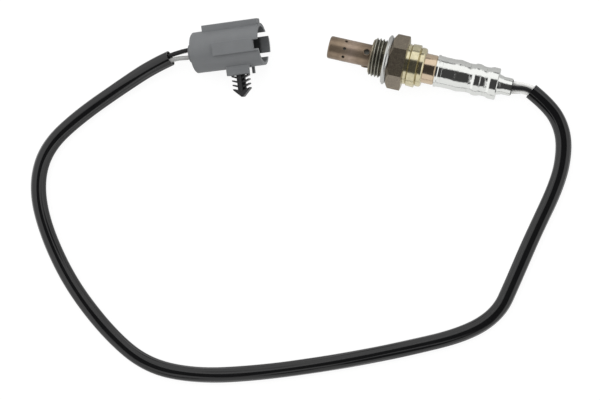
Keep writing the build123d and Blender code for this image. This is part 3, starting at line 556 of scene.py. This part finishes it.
def make_tube(name, points, radius_at, start_at, turns, wall):
    """A tube along points, open at both ends; its columns lie at set turns past a start that moves."""
    columns = len(turns)
    distance = 0.0
    rings = []
    for index, point in enumerate(points):
        if index:
            distance += (point - points[index - 1]).length
        ahead = points[min(index + 1, len(points) - 1)] - points[max(index - 1, 0)]
        along = ahead.normalized()
        level = Vector((-along.y, along.x, 0)).normalized()
        up = along.cross(level)
        ring = []
        for past in turns:
            angle = start_at(distance) + past
            radius = radius_at(past, distance)
            out = level * math.cos(angle) + up * math.sin(angle)
            ring.append((point + out * radius, point + out * (radius - wall)))
        rings.append(ring)
    vertices = [ring[k][skin] for skin in (0, 1) for ring in rings for k in range(columns)]
    inner = len(rings) * columns
    faces = []
    for index in range(len(rings) - 1):
        for k in range(columns):
            a = index * columns + k
            b = index * columns + (k + 1) % columns
            c, d = b + columns, a + columns
            faces.append((a, b, c, d))
            faces.append((inner + a, inner + d, inner + c, inner + b))
    for base, flip in ((0, False), (inner - columns, True)):
        for k in range(columns):
            a, b = base + k, base + (k + 1) % columns
            quad = (a, inner + a, inner + b, b)
            faces.append(quad[::-1] if flip else quad)
    mesh = bpy.data.meshes.new(name)
    mesh.from_pydata(vertices, [], faces)
    piece = bpy.data.objects.new(name, mesh)
    bpy.context.scene.collection.objects.link(piece)
    deselect()
    piece.select_set(True)
    bpy.context.view_layer.objects.active = piece
    bpy.ops.object.mode_set(mode="EDIT")
    bpy.ops.mesh.select_all(action="SELECT")
    bpy.ops.mesh.normals_make_consistent(inside=False)
    bpy.ops.object.mode_set(mode="OBJECT")
    bpy.ops.object.shade_smooth_by_angle(angle=math.radians(40))
    return piece


def tubing_material(base):
    """Glossy black tubing, scuffed in patches."""
    material, tree, shader = new_material("harness tubing")
    coords = add(tree, "TexCoord").outputs["Object"]
    scuff = add(tree, "TexNoise", Vector=coords, Scale=90.0, Detail=8.0, Roughness=0.7)
    fine = add(tree, "TexNoise", Vector=coords, Scale=1400.0, Detail=2.0)
    tone = mixed(tree, scuff.outputs["Fac"], base, shade(base, 2.2))
    tree.links.new(tone, shader.inputs["Base Color"])
    gloss = ramp(tree, scuff.outputs["Fac"], [(0.35, 0.08), (0.7, 0.17)])
    tree.links.new(gloss, shader.inputs["Roughness"])
    shader.inputs["Specular IOR Level"].default_value = 0.48
    bumped(tree, shader, fine.outputs["Fac"], 0.1, SCUFF_HEIGHT)
    return material


def insulation(name, base, sheen=0.5):
    """Extruded wire insulation."""
    material = moulded(name, base, Matrix.Identity(4), 0.38, 0.08, 2500)
    material.node_tree.nodes["Principled BSDF"].inputs["Specular IOR Level"].default_value = sheen
    return material


class SENSOR_OT_harness(bpy.types.Operator):
    """Lay the lapped and creased sleeve and the four wires that run through it"""

    bl_idname = "sensor.harness"
    bl_label = "Harness sleeve and wires"

    def execute(self, context):
        line = smooth_line([Vector(point) * MM for point in ROUTE])
        wall = sizes().sleeve_wall
        sleeve = make_tube("harness_tubing", line, sleeve_radius_at, lap_angle, lap_columns(), wall)
        sleeve.data.materials.append(tubing_material(colours().harness))
        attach(sleeve, "root")
        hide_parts("harness_sleeve")
        white = insulation("white insulation", colours().white_wire)
        paints = {
            "black_lead": insulation("black insulation", colours().black_wire, 0.25),
            "grey_lead": insulation("grey insulation", colours().grey_wire),
            "white_lead_a": white,
            "white_lead_b": white,
        }
        for node, (quarter, _) in WIRES.items():
            route = wire_route(node)
            wire = spline_curve(node.replace("lead", "wire"), route)
            wire.data.bevel_depth = sizes().wire_radius
            wire.data.bevel_resolution = 5
            wire.data.use_fill_caps = True
            wire.data.materials.append(paints[node])
            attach(wire, "root")
            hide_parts(node)
            length_of(smooth_line(route))
        return {"FINISHED"}


# ---- Shell

# Radii in mm of the thread's crests, of the bores and of the spanner hexagon's corners
CREST = 9.0
BORE, SEAT_BORE, REAR_BORE = 6.36, 5.3, 6.96
HEX_CORNER = 22.0 / math.sqrt(3)
# Stations in mm where the thread comes out of the shell, stands full, begins to fade and ends
THREAD_START, THREAD_FULL, THREAD_FADE, THREAD_END = 19.8, 20.8, 25.5, 26.1
HELIX_START, HELIX_TURNS = 17.8, 6
# The thread's form: share of the pitch, and share of the depth
THREAD_FORM = ((0.0, 0.0), (0.09, 0.0), (0.44, 1.0), (0.56, 1.0), (0.91, 0.0))


def thread_envelope(station):
    """Largest radius in mm that the thread may have at a station."""
    if station < THREAD_START:
        return 7.0
    if station < THREAD_FULL:
        return 7.6 + 1.4 * (station - THREAD_START)
    if station < THREAD_FADE:
        return CREST
    return max(7.9, CREST - 2.2 * (station - THREAD_FADE))


def make_thread():
    """A helical ridge with the thread's form, faded into the shell at both ends."""
    pitch = sizes().thread_pitch / MM
    depth = sizes().thread_depth / MM
    deselect()
    bpy.ops.mesh.primitive_circle_add(vertices=len(THREAD_FORM), radius=1, location=(0, 0, 0))
    ridge = bpy.context.object
    mesh = ridge.data
    for vertex, (share, rise) in zip(mesh.vertices, THREAD_FORM):
        vertex.co = ((HELIX_START + share * pitch) * MM, 0, (CREST - depth + rise * depth) * MM)
    bpy.ops.object.mode_set(mode="EDIT")
    bpy.ops.mesh.select_mode(type="EDGE")
    bpy.ops.mesh.select_all(action="DESELECT")
    bpy.ops.object.mode_set(mode="OBJECT")
    for edge in mesh.edges:
        edge.select = set(edge.vertices) == {0, len(THREAD_FORM) - 1}
    bpy.ops.object.mode_set(mode="EDIT")
    bpy.ops.mesh.delete(type="EDGE")
    bpy.ops.object.mode_set(mode="OBJECT")
    screw = ridge.modifiers.new("Helix", "SCREW")
    screw.axis = "X"
    screw.angle = 2 * math.pi
    screw.screw_offset = pitch * MM
    screw.iterations = HELIX_TURNS
    screw.steps = screw.render_steps = 96
    screw.use_merge_vertices = True
    screw.merge_threshold = 0.001 * MM
    bpy.ops.object.modifier_apply(modifier=screw.name)
    for vertex in ridge.data.vertices:
        station = vertex.co.x / MM
        radius = math.hypot(vertex.co.y, vertex.co.z) / MM
        limit = thread_envelope(station)
        if radius > limit:
            vertex.co.y *= limit / radius
            vertex.co.z *= limit / radius
        vertex.co.x = min(max(station, THREAD_START + 0.05), THREAD_END) * MM
    return ridge


def make_hexagon():
    """Spanner hexagon with turned chamfers, bored for the shell's neck."""
    deselect()
    bpy.ops.mesh.primitive_cylinder_add(
        vertices=6, radius=HEX_CORNER * MM, depth=7.3 * MM, location=(32.55 * MM, 0, 0),
        rotation=(0, math.pi / 2, 0),
    )
    prism = bpy.context.object
    bpy.ops.object.transform_apply(location=True, rotation=True, scale=True)
    clear = HEX_CORNER + 0.05
    chamfers = [(28.9, 8.5), (28.9, 10.95), (30.1, clear), (35.75, clear), (36.2, 11.0), (36.2, 8.5)]
    keep_within(prism, turned("chamfers", chamfers, segments=144))
    return prism


def shell_profile():
    """The shell's outside from front to rear, then its bore from rear to front."""
    root = CREST - sizes().thread_depth / MM - 0.02
    spigot = [(19.8, SEAT_BORE), (19.8, 7.5), (20.3, root), (25.55, root), (25.6, 8.2), (26.45, 8.2)]
    neck = [(26.5, 8.65), (26.55, 8.7), (36.2, 8.7), (36.22, 9.3)]
    collar = [
        (36.27, 9.35), (37.35, 9.35), (37.4, 9.05), (37.6, 9.05), (38.15, 9.74), (41.75, 9.93),
        (42.0, 9.4), (42.1, 8.65), (42.2, 8.65), (42.55, 9.05),
    ]
    lip = [(43.75 + 1.2 * math.sin(a), 7.85 + 1.2 * math.cos(a)) for a in (0.0, 0.4, 0.8, 1.2, 1.57)]
    inside = [
        (44.95, 7.1), (44.9, REAR_BORE), (42.5, REAR_BORE), (42.45, 7.8), (40.6, 7.8), (40.55, BORE),
        (23.8, BORE), (23.8, SEAT_BORE),
    ]
    return spigot + neck + collar + lip + inside


def shell_material():
    """Browned matte plating, pale on the crests of the thread with painted shade in its roots, and gold on
    the collar.
    """
    material, tree, shader = new_material("shell plating")
    coords = place_coords(tree, SENSOR)
    split = add(tree, "SeparateXYZ", Vector=coords)
    fine = add(tree, "TexNoise", Vector=stretched(tree, coords, (8000, 70, 70)), Scale=1.0, Detail=3.0)
    cloud = add(tree, "TexNoise", Vector=coords, Scale=420.0, Detail=7.0, Roughness=0.7)
    grit = add(tree, "TexNoise", Vector=coords, Scale=2600.0, Detail=4.0)
    brown, gold = colours().shell, colours().collar
    # The thread's finish ends at 0.27, the hexagon's runs from 0.33 to 0.64 and the collar's starts at 0.67
    span = share_between(tree, split.outputs["X"], SHELL_FRONT * MM, SHELL_REAR * MM)
    height = share_between(tree, axis_distance(tree, split), (CREST - 1) * MM, CREST * MM)
    # Painted shade: below the crests the thread's roots are painted near black; the crests take the pale
    # thread colour
    crest = ramp(tree, height, [(0.25, (0.012, 0.013, 0.013)), (0.9, colours().thread)])
    threaded = ramp(tree, span, [(0.03, 0.0), (0.05, 1.0), (0.25, 1.0), (0.27, 0.0)])
    gilded = ramp(tree, span, [(0.0, 0.25), (0.27, 0.3), (0.33, 0.0), (0.64, 0.0), (0.67, 1.0), (1.0, 1.0)])
    tone = mixed(tree, threaded, mixed(tree, gilded, brown, gold), crest)
    worn = ramp(tree, cloud.outputs["Fac"], [(0.38, 0.0), (0.72, 0.4)])
    tone = mixed(tree, worn, tone, shade(brown, 0.55))
    bright = ramp(tree, grit.outputs["Fac"], [(0.45, 0.0), (0.7, 0.35)])
    tone = mixed(tree, bright, tone, shade(gold, 0.9))
    tree.links.new(tone, shader.inputs["Base Color"])
    gloss = ramp(tree, span, [(0.0, 0.42), (0.3, 0.4), (0.33, 0.33), (0.64, 0.33), (0.67, 0.15), (1.0, 0.17)])
    tree.links.new(gloss, shader.inputs["Roughness"])
    tree.links.new(ramp(tree, span, [(0.64, 0.9), (0.67, 0.98)]), shader.inputs["Metallic"])
    bumped(tree, shader, mixed(tree, 0.5, fine.outputs["Color"], grit.outputs["Color"]), 0.18, GRIT_HEIGHT)
    return material


class SENSOR_OT_shell(bpy.types.Operator):
    """Turn the shell with its helical thread, hexagon, collar and rolled lip"""

    bl_idname = "sensor.shell"
    bl_label = "Threaded shell"

    def execute(self, context):
        body = turned("shell", shell_profile(), segments=128)
        shell = join("shell_with_thread", body, make_hexagon(), make_thread())
        finish_piece(shell, SENSOR, shell_material(), "shell_steel", "threaded_shell", angle=26)
        return {"FINISHED"}


# ---- Finishes of the other sensor pieces


def tube_material():
    """Steel that heat has tinted from straw to brown, most at the tip."""
    material, tree, shader = new_material("heat-tinted steel")
    coords = place_coords(tree, SENSOR)
    station = add(tree, "SeparateXYZ", Vector=coords).outputs["X"]
    along = share_between(tree, station, 0.0, SHELL_FRONT * MM)
    fine = add(tree, "TexNoise", Vector=stretched(tree, coords, (7000, 90, 90)), Scale=1.0, Detail=4.0)
    cloud = add(tree, "TexNoise", Vector=coords, Scale=330.0, Detail=7.0, Roughness=0.7)
    base = colours().tube
    heat = ramp(tree, along, [
        (0.0, shade(base, 0.75)), (0.3, shade(base, 1.0)), (0.55, (0.43, 0.335, 0.265)),
        (0.8, shade(base, 0.95)), (1.0, shade(base, 0.7)),
    ])
    sooted = ramp(tree, cloud.outputs["Fac"], [(0.35, 0.0), (0.72, 0.6)])
    tree.links.new(mixed(tree, sooted, heat, (0.16, 0.115, 0.085)), shader.inputs["Base Color"])
    gloss = ramp(tree, cloud.outputs["Fac"], [(0.3, 0.31), (0.75, 0.45)])
    tree.links.new(gloss, shader.inputs["Roughness"])
    shader.inputs["Metallic"].default_value = 0.8
    bumped(tree, shader, fine.outputs["Fac"], 0.15, RING_HEIGHT)
    return material


class SENSOR_OT_metals(bpy.types.Operator):
    """Finish the protection tubes, gasket, inner sleeve and crimped can"""

    bl_idname = "sensor.metals"
    bl_label = "Tubes, gasket, sleeve and can"

    def execute(self, context):
        paint = colours()
        repaint(tube_material(), "outer_protection_tube")
        repaint(ceramic("sooted steel", (0.12, 0.118, 0.105), 0.7), "inner_protection_tube")
        gasket = metal("gasket metal", paint.gasket, SENSOR, rough=0.3, stain=0.3, grain=0.2)
        straw = metal("straw steel", paint.inner_sleeve, SENSOR, rough=0.15, stain=0.2, grain=0.2, dark=0.75)
        drawn = metal(
            "drawn steel", paint.can, SENSOR, rough=0.085, stain=0.15, grain=0.12, dark=0.8, spread=300,
            wave=0.11 * MM,
        )
        repaint(gasket, "sealing_gasket", "element_seat_washer")
        repaint(straw, "inner_sleeve")
        repaint(drawn, "outer_can")
        repaint(metal("plated steel", (0.5, 0.48, 0.43), SENSOR, 0.35), "crimp_ring", "disc_spring")
        return {"FINISHED"}


class SENSOR_OT_insides(bpy.types.Operator):
    """Finish the ceramics, contacts and rubber inside the sensor"""

    bl_idname = "sensor.insides"
    bl_label = "Element, ceramics, contacts and grommet"

    def execute(self, context):
        repaint(ceramic("zirconia", (0.78, 0.76, 0.71)), "sensing_element")
        repaint(ceramic("heater ceramic", (0.82, 0.82, 0.80), 0.4), "heater_rod")
        repaint(ceramic("steatite", (0.74, 0.72, 0.66)), "ceramic_bushing", "terminal_insulator")
        repaint(ceramic("talc", (0.62, 0.61, 0.57), 0.85), "talc_ring")
        contact = metal("contact metal", (0.60, 0.57, 0.50), SENSOR, 0.3)
        repaint(contact, "signal_contact", "ground_contact", "heater_contact_a", "heater_contact_b")
        repaint(moulded("grommet rubber", (0.022, 0.022, 0.022), SENSOR, 0.7), "tail_grommet")
        return {"FINISHED"}


# ---- Plug


def housing_material():
    """Grey moulded plastic, darker inside the plug's mouth: painted shade, near black deep in it and lighter
    towards its rim.
    """
    base = colours().housing
    material = moulded("plug plastic", base, PLUG, 0.48, 0.3)
    tree = material.node_tree
    shader = tree.nodes["Principled BSDF"]
    outside = shader.inputs["Base Color"].links[0].from_socket
    split = add(tree, "SeparateXYZ", Vector=place_coords(tree, PLUG))
    radius, station = axis_distance(tree, split), split.outputs["X"]
    # Painted shade: inside the mouth the plastic is darkened to 0.15 of its colour deep in and to 0.8 near
    # the rim
    within = add(tree, "Math", _operation="LESS_THAN", i0=radius, i1=PLUG_BORE_RADIUS * MM)
    deep = add(tree, "Math", _operation="GREATER_THAN", i0=station, i1=PLUG_WEB * MM)
    inside = add(tree, "Math", _operation="MULTIPLY", i0=within.outputs[0], i1=deep.outputs[0])
    painted_shade_fades = share_between(tree, station, PLUG_DEEP_SHADE_END * MM, PLUG_PALE_SHADE_START * MM)
    depth = mixed(tree, painted_shade_fades, shade(base, 0.15), shade(base, 0.8))
    tree.links.new(mixed(tree, inside.outputs[0], outside, depth), shader.inputs["Base Color"])
    return material


class SENSOR_OT_plug(bpy.types.Operator):
    """Finish the plug's housing, seals, pins and clip"""

    bl_idname = "sensor.plug"
    bl_label = "Plug and clip"

    def execute(self, context):
        paint = colours()
        repaint(housing_material(), "connector_housing", "seal_retainer")
        repaint(moulded("dark plastic", (0.03, 0.03, 0.033), PLUG, 0.55), "terminal_lock")
        repaint(moulded("seal rubber", (0.12, 0.035, 0.02), PLUG, 0.6), "wire_seal")
        tin = metal("tin plate", (0.62, 0.60, 0.55), PLUG, 0.28)
        repaint(tin, "black_pin", "grey_pin", "white_pin_a", "white_pin_b")
        repaint(moulded("clip plastic", paint.clip, PLUG, 0.42, 0.15), "mounting_clip")
        return {"FINISHED"}


# ---- Stage

# The point in the middle of the view, and how the camera stands to it
TARGET = Vector((-43.22, -73.18, 0)) * MM
CAMERA_DISTANCE = 1.1
CAMERA_LENS = 140.7  # mm, on a picture 36 mm wide
CAMERA_TURN = math.radians(12.65)  # the picture's level, turned on the floor
CAMERA_LEAN = math.radians(10.9)  # to the right
CAMERA_DIP = math.radians(-2.4)  # towards the lower edge
# Levels of the sky and of the floor
SKY_STRENGTH = 1.5
DIM, FRONT, WALL, END = 0.04, 0.68, 0.82, 0.8
FLOOR_GREY = (0.6, 0.6, 0.6, 1)


def make_camera():
    """The camera, above the part and leaning to its right."""
    data = bpy.data.cameras.new("camera")
    camera = bpy.data.objects.new("camera", data)
    bpy.context.scene.collection.objects.link(camera)
    right = Vector((math.cos(CAMERA_TURN), math.sin(CAMERA_TURN), 0))
    up = Vector((-math.sin(CAMERA_TURN), math.cos(CAMERA_TURN), 0))
    back = (
        right * (math.sin(CAMERA_LEAN) * math.cos(CAMERA_DIP)) - up * math.sin(CAMERA_DIP)
        + Vector((0, 0, math.cos(CAMERA_LEAN) * math.cos(CAMERA_DIP)))
    ).normalized()
    side = up.cross(back).normalized()
    above = back.cross(side)
    turn = Matrix((side, above, back)).transposed().to_4x4()
    camera.matrix_world = Matrix.Translation(TARGET + back * CAMERA_DISTANCE) @ turn
    data.lens = CAMERA_LENS
    data.sensor_width = 36
    data.clip_end = 20
    data.dof.use_dof = False
    bpy.context.scene.camera = camera


def floor_material():
    """Pale paper that keeps the part's shadow and shows white to the camera and in the metal's lower side."""
    material, tree, shader = new_material("floor paper")
    shader.inputs["Base Color"].default_value = FLOOR_GREY
    shader.inputs["Roughness"].default_value = 0.9
    shader.inputs["Specular IOR Level"].default_value = 0.1
    path = add(tree, "LightPath").outputs
    clear = add(tree, "Math", _operation="MAXIMUM", i0=path["Is Camera Ray"], i1=path["Is Transmission Ray"])
    beside = add(tree, "SeparateXYZ", Vector=add(tree, "TexCoord").outputs["Object"]).outputs["Y"]
    near = share_between(tree, beside, 0.01, -0.01, top=0.7)
    mirrored = add(tree, "Math", _operation="MULTIPLY", i0=path["Is Glossy Ray"], i1=near)
    seen = add(tree, "Math", _operation="MAXIMUM", i0=clear.outputs[0], i1=mirrored.outputs[0])
    glow = add(tree, "Emission", Color=(1, 1, 1, 1), Strength=1.2)
    paper = add(tree, "MixShader", Fac=0.74, i1=shader.outputs[0], i2=glow.outputs[0])
    both = add(tree, "MixShader", Fac=seen.outputs[0], i1=shader.outputs[0], i2=paper.outputs[0])
    tree.links.new(both.outputs[0], tree.nodes["Material Output"].inputs["Surface"])
    return material


def make_sky(world):
    """A sky that is dim over the part, with a bright wall behind it, one in front and one at each end."""
    world.use_nodes = True
    tree = world.node_tree
    sky = tree.nodes["Background"]
    split = add(tree, "SeparateXYZ", Vector=add(tree, "TexCoord").outputs["Generated"]).outputs
    level_y = add(tree, "Math", _operation="MULTIPLY_ADD", i0=split["Y"], i1=0.5, i2=0.5).outputs[0]
    level_x = add(tree, "Math", _operation="MULTIPLY_ADD", i0=split["X"], i1=0.5, i2=0.5).outputs[0]
    walls = ramp(tree, level_y, [
        (0.0, 0.66), (0.14, FRONT), (0.18, DIM), (0.74, DIM), (0.785, WALL), (0.985, WALL), (0.991, 0.15),
    ])
    ends = ramp(tree, level_x, [(0.0, END), (0.29, END), (0.33, 0.0), (0.80, 0.0), (0.86, END)])
    path = add(tree, "LightPath")
    plain = (1 / SKY_STRENGTH,) * 3
    level = mixed(tree, path.outputs["Is Camera Ray"], mixed(tree, 1.0, walls, ends, "LIGHTEN"), plain)
    tree.links.new(level, sky.inputs["Color"])
    sky.inputs["Strength"].default_value = SKY_STRENGTH


def make_overhead_light():
    """A broad soft light above, which metal doesn't mirror."""
    data = bpy.data.lights.new("overhead", "AREA")
    data.shape = "RECTANGLE"
    data.size, data.size_y = 1.4, 1.0
    data.energy = 8
    light = bpy.data.objects.new("overhead", data)
    bpy.context.scene.collection.objects.link(light)
    place, aim = Vector((0.0, 0.35, 1.25)), Vector((0, -0.07, 0))
    light.location = place
    light.rotation_euler = (aim - place).to_track_quat("-Z", "Y").to_euler()
    light.visible_glossy = False


class SENSOR_OT_camera(bpy.types.Operator):
    """Set up the camera"""

    bl_idname = "sensor.camera"
    bl_label = "Camera"

    def execute(self, context):
        make_camera()
        return {"FINISHED"}


class SENSOR_OT_stage(bpy.types.Operator):
    """Set up the pale floor, the sky and the soft light"""

    bl_idname = "sensor.stage"
    bl_label = "Stage"

    def execute(self, context):
        scene = context.scene
        scene.view_settings.view_transform = "Standard"
        deselect()
        bpy.ops.mesh.primitive_grid_add(x_subdivisions=4, y_subdivisions=4, size=8)
        floor = context.object
        floor.name = "floor"
        floor.data.materials.append(floor_material())
        scene.world = bpy.data.worlds.new("studio")
        make_sky(scene.world)
        make_overhead_light()
        return {"FINISHED"}


class SENSOR_PT_panel(bpy.types.Panel):
    """Lists the steps that build the sensor"""

    bl_idname = "SENSOR_PT_panel"
    bl_label = "Oxygen sensor"
    bl_space_type = "VIEW_3D"
    bl_region_type = "UI"
    bl_category = "Sensor"

    def draw(self, context):
        for step in STEPS:
            self.layout.operator(step.bl_idname)
        for group in (context.scene.sensor_sizes, context.scene.sensor_colours):
            box = self.layout.box()
            for key in group.__annotations__:
                box.prop(group, key)


STEPS = (
    SENSOR_OT_camera,
    SENSOR_OT_harness,
    SENSOR_OT_shell,
    SENSOR_OT_metals,
    SENSOR_OT_insides,
    SENSOR_OT_plug,
    SENSOR_OT_stage,
)
CLASSES = (SensorSizes, SensorColours, *STEPS, SENSOR_PT_panel)


def register():
    for entry in CLASSES:
        bpy.utils.register_class(entry)
    bpy.types.Scene.sensor_sizes = bpy.props.PointerProperty(type=SensorSizes)
    bpy.types.Scene.sensor_colours = bpy.props.PointerProperty(type=SensorColours)


def unregister():
    del bpy.types.Scene.sensor_colours
    del bpy.types.Scene.sensor_sizes
    for entry in reversed(CLASSES):
        bpy.utils.unregister_class(entry)


def main():
    register()
    bpy.ops.sensor.camera()
    bpy.ops.sensor.harness()
    bpy.ops.sensor.shell()
    bpy.ops.sensor.metals()
    bpy.ops.sensor.insides()
    bpy.ops.sensor.plug()
    bpy.ops.sensor.stage()


if __name__ == "__main__":
    main()
